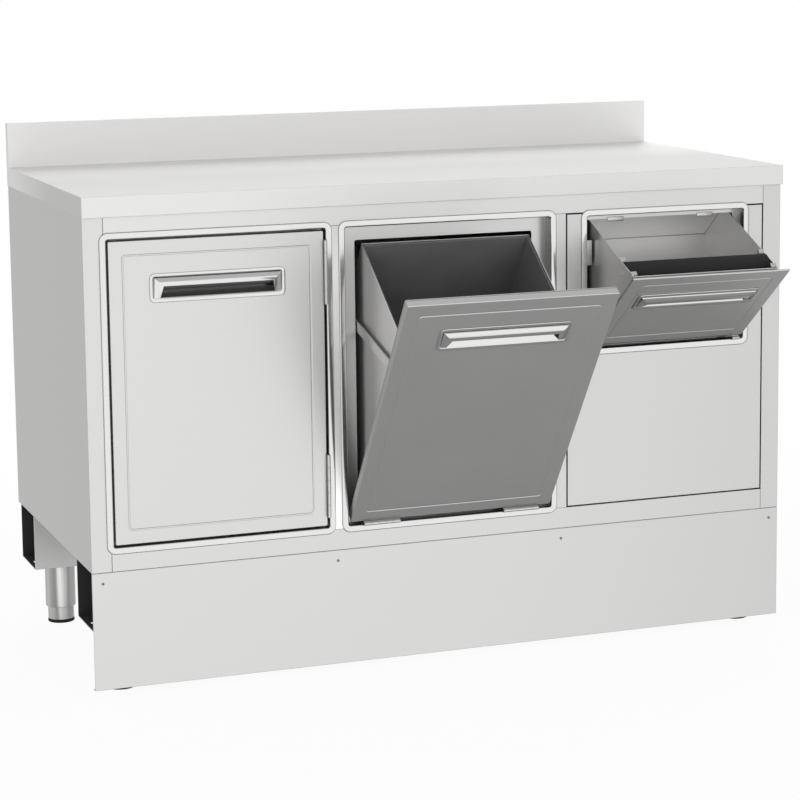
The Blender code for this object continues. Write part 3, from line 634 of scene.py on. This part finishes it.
def front_plate(name, low, high, rounding, steps, border):
    """A plate at the front of a box, with rounded corners and its face inside the border picked."""
    centre = (low + high) / 2
    piece = begin(
        name, bpy.ops.mesh.primitive_plane_add, size=1.0, location=(centre.x, low.y, centre.z),
        rotation=(math.pi / 2, 0.0, 0.0), scale=(high.x - low.x, high.z - low.z, 1.0))
    bpy.ops.mesh.select_all(action="SELECT")
    bpy.ops.mesh.bevel(offset=rounding, segments=steps, affect="VERTICES")
    bpy.ops.mesh.inset(thickness=border)
    return piece


def pull_in(plane, centre, ends, top, foot, among):
    """Moves the corners on an upright plane inward, those of each side by its own length."""
    for test, shift in (
            (lambda spot: spot.x < centre.x, (ends, 0.0, 0.0)),
            (lambda spot: spot.x > centre.x, (-ends, 0.0, 0.0)),
            (lambda spot: spot.z > centre.z, (0.0, 0.0, -top)),
            (lambda spot: spot.z < centre.z, (0.0, 0.0, foot))):
        pick("VERT", lambda vert: abs(vert.co.y - plane) < ON_PLANE and test(vert.co) and among(vert))
        move(*shift)


def done(piece, body, replaces=None):
    """Smooths a closed piece and hangs it on its body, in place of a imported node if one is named."""
    only(piece)
    bpy.ops.object.shade_smooth_by_angle(angle=SMOOTH_ANGLE)
    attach(piece, body)
    if replaces:
        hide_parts(replaces)


def thicken(piece, thickness):
    """Gives an open shell its sheet thickness, on the side away from its face."""
    bpy.ops.object.mode_set(mode="OBJECT")
    only(piece)
    wall = piece.modifiers.new("sheet", "SOLIDIFY")
    wall.thickness = thickness
    wall.offset = -1.0
    wall.use_even_offset = True
    bpy.ops.object.modifier_apply(modifier=wall.name)


def twin(piece, name, place):
    """A copy with its own mesh, moved to its place."""
    only(piece)
    bpy.ops.object.duplicate()
    copy = bpy.context.object
    copy.name = copy.data.name = name
    copy.matrix_world = place
    bpy.ops.object.transform_apply(location=True, rotation=True, scale=True)
    return copy


def coat(piece, material):
    """Closes the open mesh and gives it its finish."""
    bpy.ops.object.mode_set(mode="OBJECT")
    piece.data.materials.append(finish(material))


def clad(piece, material, test):
    """Adds a finish to a closed piece, on the faces that pass a test."""
    piece.data.materials.append(finish(material))
    bpy.ops.object.mode_set(mode="EDIT")
    pick("FACE", test)
    piece.active_material_index = len(piece.data.materials) - 1
    bpy.ops.object.material_slot_assign()
    bpy.ops.object.mode_set(mode="OBJECT")


class COUNTER_OT_rims(bpy.types.Operator):
    """Makes the polished bead, jamb and stop flange of each opening"""

    bl_idname = "counter.rims"
    bl_label = "Make the rims"

    def rim(self, node, want, side_flange, foot_flange):
        low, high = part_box(node)
        centre = (low + high) / 2
        half = (high - low) / 2
        bead = want.bead_width
        slack = 0.001
        behind = FRONT_Y + slack
        piece = front_plate(node + "_bead", low, high, want.rim_corner, 10, bead)
        bpy.ops.mesh.delete(type="FACE")

        def inner(edge):
            spot = middle(edge) - centre
            return max(abs(spot.x) - half.x, abs(spot.z) - half.z) < slack - bead

        jamb = high.y - low.y - want.rim_sheet
        pick("EDGE", lambda edge: edge.is_boundary and inner(edge))
        draw_edges(y=jamb)
        draw_edges()
        pull_in(
            low.y + jamb, centre, side_flange, side_flange, foot_flange,
            lambda vert: any(edge.is_boundary for edge in vert.link_edges))
        pick("EDGE", lambda edge: edge.is_boundary and not inner(edge))
        draw_edges(y=FRONT_Y - SEAT_GAP - low.y)
        pick("EDGE", lambda edge: corner()(edge) and middle(edge).y < low.y + ON_PLANE)
        soften(want.bead_round, 5)
        thicken(piece, want.rim_sheet * 0.8)

        def beside(face):
            spot = face.calc_center_median() - centre
            return spot.y + centre.y > behind and abs(spot.x) - half.x > abs(spot.z) - half.z

        coat(piece, "bright_steel")
        clad(piece, "jamb_steel", lambda face: face.calc_center_median().y > behind)
        clad(piece, "side_jamb_steel", beside)
        done(piece, "cabinet", replaces=node)

    def execute(self, context):
        want = context.scene.counter_fittings
        self.rim("left_rim", want, want.stop_flange, want.stop_flange)
        self.rim("middle_rim", want, want.stop_flange, want.stop_flange)
        self.rim("small_rim", want, want.small_flange, want.small_foot_flange)
        return {"FINISHED"}


# The hood's profile, as shares of its height and its reach: a hidden root, a tight bend, a slope
# and the roll down to the lip
HOOD_PROFILE = (
    (0.0, 0.0), (0.0, 0.0), (0.03, 0.21), (0.06, 0.336), (0.16, 0.452), (0.26, 0.56), (0.36, 0.658),
    (0.46, 0.748), (0.56, 0.824), (0.66, 0.888), (0.76, 0.939), (0.86, 0.978), (1.0, 1.0))


class COUNTER_OT_handles(bpy.types.Operator):
    """Makes the hooded cup handle and sets one in each door"""

    bl_idname = "counter.handles"
    bl_label = "Make the handles"

    def cup(self, want, low, high):
        """The flange and the cup behind it, whose foot slopes up under the hood."""
        centre = (low + high) / 2
        piece = front_plate("left_handle", low, high, want.handle_corner, 7, want.handle_flange)
        floor = low.y + want.handle_depth
        draw(y=want.handle_depth)
        pull_in(floor, centre, want.handle_end, want.handle_top, want.handle_foot, lambda vert: True)
        pick("EDGE", lambda edge: edge.is_boundary)
        draw_edges(y=FRONT_Y - SEAT_GAP - low.y)
        inner = (high - low) / 2 - Vector((want.handle_flange, 0.0, want.handle_flange)) * 0.5

        def mouth(edge):
            spot = middle(edge) - centre
            return abs(spot.x) < inner.x and abs(spot.z) < inner.z

        bent = corner(0.3)
        front = low.y + ON_PLANE
        pick("EDGE", lambda edge: bent(edge) and middle(edge).y < front and not mouth(edge))
        soften(want.flange_round, 3)
        pick("EDGE", lambda edge: bent(edge) and middle(edge).y < front and mouth(edge))
        soften(want.handle_round, 4)
        pick("EDGE", lambda edge: bent(edge) and middle(edge).y > floor - NEAR_PLANE)
        soften(want.cup_round, 2)
        thicken(piece, want.cup_sheet)
        coat(piece, "bright_steel")
        back = floor - want.cup_sheet

        def deepest(face):
            return face.normal.y < -0.95 and face.calc_center_median().y > back

        # Painted shade on the cup's deepest wall
        clad(piece, "cup_back_steel", deepest)
        return piece

    def hood(self, want, low, high):
        """The hood that rolls out over the slot, mitred into a wing down each end to the flange."""
        centre = (low + high) / 2
        inset = want.handle_flange + want.hood_gap
        half = (high.x - low.x) / 2 - inset
        top = high.z - inset
        foot = low.z + inset
        rows = len(HOOD_PROFILE) - 1
        piece = begin(
            "left_handle_hood", bpy.ops.mesh.primitive_grid_add, x_subdivisions=3, y_subdivisions=rows,
            size=1.0, location=centre, rotation=(math.pi / 2, 0.0, 0.0))
        # The grid is 1 m wide and high: its outer columns become the wings, its rows the profile
        starts = [vert.co.copy() for vert in bmesh.from_edit_mesh(piece.data).verts]
        for index, start in enumerate(starts):
            side = 1.0 if start.x > centre.x else -1.0
            row = round((centre.z + 0.5 - start.z) * rows)
            inward, forward = HOOD_PROFILE[row]
            if abs(start.x - centre.x) > 0.4:
                reach = half - (want.hood_end - want.wing_spread) * inward
                deep = want.wing_depth
                height = foot
            else:
                reach = half - want.hood_end * inward
                deep = want.hood_depth - want.hood_reach * forward
                height = top - want.hood_height * inward
            if row == 0:
                deep = 2 * want.handle_round
            target = Vector((centre.x + side * reach, low.y + deep, height))
            pick("VERT", lambda vert: vert.index == index)
            move(*(target - start))
        thicken(piece, want.hood_sheet)
        coat(piece, "bright_steel")
        # The hood's back faces take the matt grey of painted light
        clad(piece, "hood_back_painted_light", lambda face: face.normal.y > 0.05)
        return piece

    def execute(self, context):
        want = context.scene.counter_fittings
        low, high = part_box("left_door_handle")
        cup = self.cup(want, low, high)
        hood = self.hood(want, low, high)
        only(cup)
        hood.select_set(True)
        bpy.ops.object.join()
        across = -(low.x + high.x) / 2
        small_low, small_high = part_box("small_door_handle")
        small_x = (small_low.x + small_high.x) / 2
        places = {
            "middle": Matrix.Translation((across, 0.0, 0.0)),
            "small": Matrix.Translation((across + small_x, 0.0, -want.small_handle_drop)),
        }
        for name, place in places.items():
            copy = twin(cup, name + "_handle", opened(name + "_hopper_tilt") @ place)
            done(copy, name + "_hopper", replaces=name + "_door_handle")
        done(cup, "left_door", replaces="left_door_handle")
        return {"FINISHED"}


class COUNTER_OT_legs(bpy.types.Operator):
    """Turns the leg sleeves, the sliding feet and their rubber pads"""

    bl_idname = "counter.legs"
    bl_label = "Make the legs"

    def turned(self, node, name, round_top, round_foot):
        low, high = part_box(node)
        centre = (low + high) / 2
        piece = begin(
            name, bpy.ops.mesh.primitive_cylinder_add, vertices=64, radius=(high.x - low.x) / 2,
            depth=high.z - low.z, location=centre)
        for height, radius in ((high.z, round_top), (low.z, round_foot)):
            if radius:
                pick("EDGE", lambda edge: corner()(edge) and abs(middle(edge).z - height) < ON_PLANE)
                soften(radius, 3)
        pick("FACE", lambda face: face.normal.z < -0.99)
        return piece, low, high

    def sleeve(self):
        piece, low, high = self.turned("leg_sleeve_front_left", "sleeve_front_left", 0.0, 0.0)
        foot_low, foot_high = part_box("foot_front_left")
        wall = (high.x - low.x) / 2 - (foot_high.x - foot_low.x) / 2 - SEAT_GAP
        headroom = 0.0002
        bpy.ops.mesh.inset(thickness=wall)
        draw(z=foot_high.z - low.z + headroom)
        pick("EDGE", lambda edge: corner()(edge) and middle(edge).z < low.z + NEAR_PLANE)
        soften(0.0012, 3)
        return piece

    def hollowed(self, node, name, round_top, round_foot, wall, depth):
        """A turned piece with a shallow hollow in its foot."""
        piece = self.turned(node, name, round_top, round_foot)[0]
        bpy.ops.mesh.inset(thickness=wall)
        draw(z=depth)
        return piece

    def tube(self):
        return self.hollowed(
            "foot_front_left", "tube_front_left", round_top=0.0, round_foot=0.0015, wall=0.004, depth=0.002)

    def pad(self):
        return self.hollowed(
            "foot_pad_front_left", "pad_front_left", round_top=0.0015, round_foot=0.001, wall=0.006,
            depth=0.0015)

    def execute(self, context):
        """Turns one of each and sets copies under the other three corners."""
        for make, node, name, slot, material in (
                (self.sleeve, "leg_sleeve_", "sleeve_", "satin_steel", "tube_steel"),
                (self.tube, "foot_", "tube_", "satin_steel", "tube_steel"),
                (self.pad, "foot_pad_", "pad_", "black_rubber", "soft_rubber")):
            first = make()
            coat(first, material)
            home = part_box(node + "front_left")[0]
            for place in ("front_right", "rear_left", "rear_right", "front_left"):
                shift = Matrix.Translation(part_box(node + place)[0] - home)
                piece = first if place == "front_left" else twin(first, name + place, shift)
                body = "cabinet" if node == "leg_sleeve_" else "foot_" + place
                done(piece, body, replaces=node + place)
        return {"FINISHED"}


class COUNTER_OT_knock_bar(bpy.types.Operator):
    """Makes the rubber knock bar, its rod and the folded clips that hold it"""

    bl_idname = "counter.knock_bar"
    bl_label = "Make the knock bar"

    def round_bar(self, node, name, edge_round, groove):
        low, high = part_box(node)
        centre = (low + high) / 2
        radius = (high.y - low.y) / 2
        half = (high.x - low.x) / 2
        piece = begin(
            name, bpy.ops.mesh.primitive_cylinder_add, vertices=64, radius=radius, depth=2 * half,
            location=centre, rotation=(0.0, math.pi / 2, 0.0))
        pick("FACE", lambda face: abs(face.normal.x) > 0.9)
        bpy.ops.mesh.inset(thickness=radius * 0.45, use_individual=True)
        bpy.ops.mesh.extrude_faces_move(TRANSFORM_OT_shrink_fatten={"value": -groove})

        def at_end(edge):
            return abs(abs(middle(edge).x - centre.x) - half) < NEAR_PLANE

        pick("EDGE", lambda edge: corner()(edge) and at_end(edge))
        soften(edge_round, 3)
        return piece

    def execute(self, context):
        want = context.scene.counter_fittings
        bar = self.round_bar("knock_bar", "rubber_bar", edge_round=0.0015, groove=0.001)
        coat(bar, "soft_rubber")
        done(bar, "small_hopper", replaces="knock_bar")
        low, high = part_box("knock_box")
        turn = opened("small_hopper_tilt")
        rod = self.round_bar("knock_rod", "bar_rod", edge_round=0.0006, groove=0.0004)
        near, proud = 0.001, 0.0001
        for sign, wall in ((-1, low.x), (1, high.x)):
            pick("VERT", lambda vert: (vert.co.x - wall) * sign > -near)
            flush = max((vert.co.x - wall) * sign for vert in bmesh.from_edit_mesh(rod.data).verts)
            move(x=-sign * (flush - proud))
        coat(rod, "box_steel")
        done(rod, "small_hopper", replaces="knock_rod")
        clip_depth, clip_sheet, lift, set_out = 0.009, 0.0018, 0.0012, 0.0003
        clip = begin(
            "bar_clip_left_front", bpy.ops.mesh.primitive_cube_add, size=1.0,
            location=(want.clip_width / 2 - set_out, 0.0, lift),
            scale=(want.clip_width, clip_depth, clip_sheet))
        pick("FACE", lambda face: face.normal.x > 0.9)
        draw(x=0.0015, z=-0.004)
        pick("EDGE", corner(0.5))
        soften(0.0005, 2)
        coat(clip, "bright_steel")
        # Depth and height of each pair of clips with the door shut
        front, rear = (FRONT_Y + 0.0285, 0.8666), (FRONT_Y + 0.0785, 0.838)
        half_turn = Matrix.Rotation(math.pi, 4, "Z")
        places = {
            "left_rear": turn @ Matrix.Translation((low.x, *rear)),
            "right_front": turn @ Matrix.Translation((high.x, *front)) @ half_turn,
            "right_rear": turn @ Matrix.Translation((high.x, *rear)) @ half_turn,
        }
        others = [twin(clip, "bar_clip_" + name, place) for name, place in places.items()]
        clip.data.transform(turn @ Matrix.Translation((low.x, *front)))
        for piece in (clip, *others):
            done(piece, "small_hopper")
        return {"FINISHED"}


class COUNTER_OT_stops(bpy.types.Operator):
    """Makes the small opening's top tabs and side stop plates"""

    bl_idname = "counter.stops"
    bl_label = "Make the door stops"

    def execute(self, context):
        want = context.scene.counter_fittings
        low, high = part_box("small_rim")
        centre = (low.x + high.x) / 2
        edge = high.z - want.bead_width - want.small_flange
        tab_sheet, tab_height, tab_back, tab_drop = 0.0012, 0.009, 0.0022, 0.0005
        tab = begin(
            "top_tab_left", bpy.ops.mesh.primitive_cube_add, size=1.0,
            location=(centre - want.tab_reach, high.y - tab_back, edge - tab_drop),
            scale=(want.tab_width, tab_sheet, tab_height))
        pick("FACE", lambda face: face.normal.z < -0.9)
        bpy.ops.mesh.inset(thickness=0.0003)
        draw(y=0.002, z=-0.0008)
        pick("EDGE", corner(0.5))
        soften(0.0003, 2)
        coat(tab, "jamb_steel")
        jamb = (high.x - low.x) / 2 - want.bead_width
        plate_width, plate_sheet, plate_height = 0.0132, 0.0014, 0.052
        plate_back, plate_middle = 0.0052, 0.8215
        plate = begin(
            "stop_plate_left", bpy.ops.mesh.primitive_cube_add, size=1.0,
            location=(centre - jamb + plate_width / 2, FRONT_Y + plate_back, plate_middle),
            scale=(plate_width, plate_sheet, plate_height))
        pick("EDGE", corner(0.5))
        soften(0.0004, 2)
        coat(plate, "jamb_steel")
        for piece, across in ((tab, 2 * want.tab_reach), (plate, 2 * jamb - plate_width)):
            other = twin(piece, piece.name.replace("left", "right"), Matrix.Translation((across, 0.0, 0.0)))
            done(other, "cabinet")
            done(piece, "cabinet")
        return {"FINISHED"}


class COUNTER_OT_screws(bpy.types.Operator):
    """Makes one screw with a recessed head and sets copies along the plinth"""

    bl_idname = "counter.screws"
    bl_label = "Make the plinth screws"

    def execute(self, context):
        want = context.scene.counter_fittings
        radius = want.screw_radius
        length, recess = 0.002, 0.0009
        first = begin(
            "plinth_screw_1", bpy.ops.mesh.primitive_cylinder_add, vertices=24, radius=radius, depth=length,
            location=(0.0, FRONT_Y, 0.0), rotation=(math.pi / 2, 0.0, 0.0))
        pick("FACE", lambda face: face.normal.y < -0.9)
        bpy.ops.mesh.inset(thickness=radius * 0.5)
        draw(y=recess)
        pick("EDGE", lambda edge: corner()(edge) and middle(edge).y < FRONT_Y - recess)
        soften(0.0003, 2)
        coat(first, "screw_steel")
        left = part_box("plinth")[0].x
        reaches = (0.0214, 0.504, 0.992, 1.477)
        places = [Matrix.Translation((left + reach, 0.0, want.screw_height)) for reach in reaches]
        screws = [twin(first, f"plinth_screw_{index + 2}", place) for index, place in enumerate(places[1:])]
        first.data.transform(places[0])
        for screw in (first, *screws):
            done(screw, "cabinet")
        return {"FINISHED"}


def aim(place, target):
    back = (Vector(place) - Vector(target)).normalized()
    return Matrix.Translation(place) @ back.to_track_quat("Z", "Y").to_matrix().to_4x4()


class COUNTER_OT_stage(bpy.types.Operator):
    """Adds the floor, the soft light and the camera"""

    bl_idname = "counter.stage"
    bl_label = "Set the stage"

    def floor(self, want):
        bpy.ops.object.select_all(action="DESELECT")
        bpy.ops.mesh.primitive_circle_add(
            vertices=96, radius=5.0, fill_type="NGON", location=(0.0, 0.0, -0.0005))
        floor = bpy.context.object
        floor.name = "floor"
        bpy.ops.object.transform_apply(location=True, rotation=True, scale=True)
        graph = Graph(bpy.data.materials.new("floor_pale"))
        x, y = graph.axes(graph.place())[:2]
        half_x, half_y = 0.75, 0.5
        out_x = (abs(x) - half_x).most(0.0)
        out_y = (abs(y) - half_y).most(0.0)
        square = out_x * out_x + out_y * out_y
        near = square.math("SQRT", square).below(limit=1.3, soft=1.4)
        seen = self.seen(graph)
        matt = graph.add("ShaderNodeBsdfDiffuse", None, {"Color": grey(0.86)})
        white = graph.add("ShaderNodeEmission", None, {"Color": grey(1.0), "Strength": 1.0})
        clear = graph.add("ShaderNodeBsdfTransparent")
        lifted = graph.add("ShaderNodeMixShader", None, {0: seen * want.floor_white, 1: matt, 2: white})
        faded = graph.add("ShaderNodeMixShader", None, {0: near, 1: clear, 2: lifted})
        graph.add("ShaderNodeOutputMaterial", None, {"Surface": faded})
        floor.data.materials.append(finish("floor_pale"))
        floor.visible_glossy = False
        floor.visible_shadow = False

    def seen(self, graph):
        """1 for rays from the camera and from shiny or clear surfaces."""
        rays = graph.add("ShaderNodeLightPath").socket.node.outputs
        kinds = ("Is Camera Ray", "Is Glossy Ray", "Is Transmission Ray")
        camera, shiny, clear = [Term(graph, rays[kind]) for kind in kinds]
        return camera.most(shiny).most(clear)

    def room(self, want):
        world = bpy.data.worlds.new("studio")
        bpy.context.scene.world = world
        graph = Graph(world)
        dim = graph.add("ShaderNodeBackground", None, {"Color": grey(want.room_light), "Strength": 1.0})
        height = graph.axes(graph.add("ShaderNodeTexCoord", output="Generated"))[2]
        light = 1.0 - height.below(limit=-0.62, soft=0.4) * want.floor_dark
        white = graph.add("ShaderNodeBackground", None, {"Color": grey(1.0), "Strength": light})
        mixed = graph.add("ShaderNodeMixShader", None, {0: self.seen(graph), 1: dim, 2: white})
        graph.add("ShaderNodeOutputWorld", None, {"Surface": mixed})

    def panel_light(self, name, place, target, wide, high, level):
        lamp = bpy.data.lights.new(name, "AREA")
        lamp.shape = "RECTANGLE"
        lamp.size = wide
        lamp.size_y = high
        lamp.energy = level * PANEL_WHITE * wide * high
        piece = bpy.data.objects.new(name, lamp)
        bpy.context.scene.collection.objects.link(piece)
        piece.matrix_world = aim(place, target)
        piece.visible_camera = False

    def camera(self, want):
        yaw, pitch, roll = want.camera_turn
        level = Matrix.Rotation(-yaw, 4, "Z") @ Matrix.Rotation(math.pi / 2 - pitch, 4, "X")
        lens = bpy.data.cameras.new("camera")
        lens.sensor_width = SENSOR_WIDTH
        lens.lens = want.camera_lens
        lens.shift_x, lens.shift_y = want.camera_shift
        lens.clip_end = 60.0
        camera = bpy.data.objects.new("camera", lens)
        bpy.context.scene.collection.objects.link(camera)
        camera.matrix_world = Matrix.Translation(want.camera_place) @ level @ Matrix.Rotation(roll, 4, "Z")
        bpy.context.scene.camera = camera

    def execute(self, context):
        want = context.scene.counter_stage
        self.camera(want)
        self.floor(want)
        self.room(want)
        self.panel_light(
            "front_panel", place=(-0.9, -5.6, 0.4), target=(-0.9, 0.0, 0.4), wide=10.4, high=9.0,
            level=want.front_light)
        self.panel_light(
            "back_panel", place=(1.6, 4.4, 3.4), target=(0.0, 0.0, 0.9), wide=6.0, high=3.6,
            level=want.back_light)
        context.scene.view_settings.view_transform = "Standard"
        return {"FINISHED"}


class COUNTER_PT_panel(bpy.types.Panel):
    """Lists the counter's finishes and steps"""

    bl_label = "Counter"
    bl_idname = "COUNTER_PT_panel"
    bl_space_type = "VIEW_3D"
    bl_region_type = "UI"
    bl_category = "Counter"

    def draw(self, context):
        layout = self.layout
        scene = context.scene
        for group in (scene.counter_finish, scene.counter_fittings, scene.counter_stage):
            for field in group.bl_rna.properties.keys():
                if field not in ("rna_type", "name"):
                    layout.prop(group, field)
        for step in STEPS:
            layout.operator(step.bl_idname)


STEPS = (
    COUNTER_OT_finish,
    COUNTER_OT_rims,
    COUNTER_OT_handles,
    COUNTER_OT_legs,
    COUNTER_OT_knock_bar,
    COUNTER_OT_stops,
    COUNTER_OT_screws,
    COUNTER_OT_stage,
)
CLASSES = (CounterFinish, CounterFittings, CounterStage, *STEPS, COUNTER_PT_panel)


def register():
    for piece in CLASSES:
        bpy.utils.register_class(piece)
    bpy.types.Scene.counter_finish = bpy.props.PointerProperty(type=CounterFinish)
    bpy.types.Scene.counter_fittings = bpy.props.PointerProperty(type=CounterFittings)
    bpy.types.Scene.counter_stage = bpy.props.PointerProperty(type=CounterStage)


def unregister():
    del bpy.types.Scene.counter_stage
    del bpy.types.Scene.counter_fittings
    del bpy.types.Scene.counter_finish
    for piece in reversed(CLASSES):
        bpy.utils.unregister_class(piece)


def main():
    register()
    bpy.ops.counter.finish()
    bpy.ops.counter.rims()
    bpy.ops.counter.handles()
    bpy.ops.counter.legs()
    bpy.ops.counter.knock_bar()
    bpy.ops.counter.stops()
    bpy.ops.counter.screws()
    bpy.ops.counter.stage()


if __name__ == "__main__":
    main()
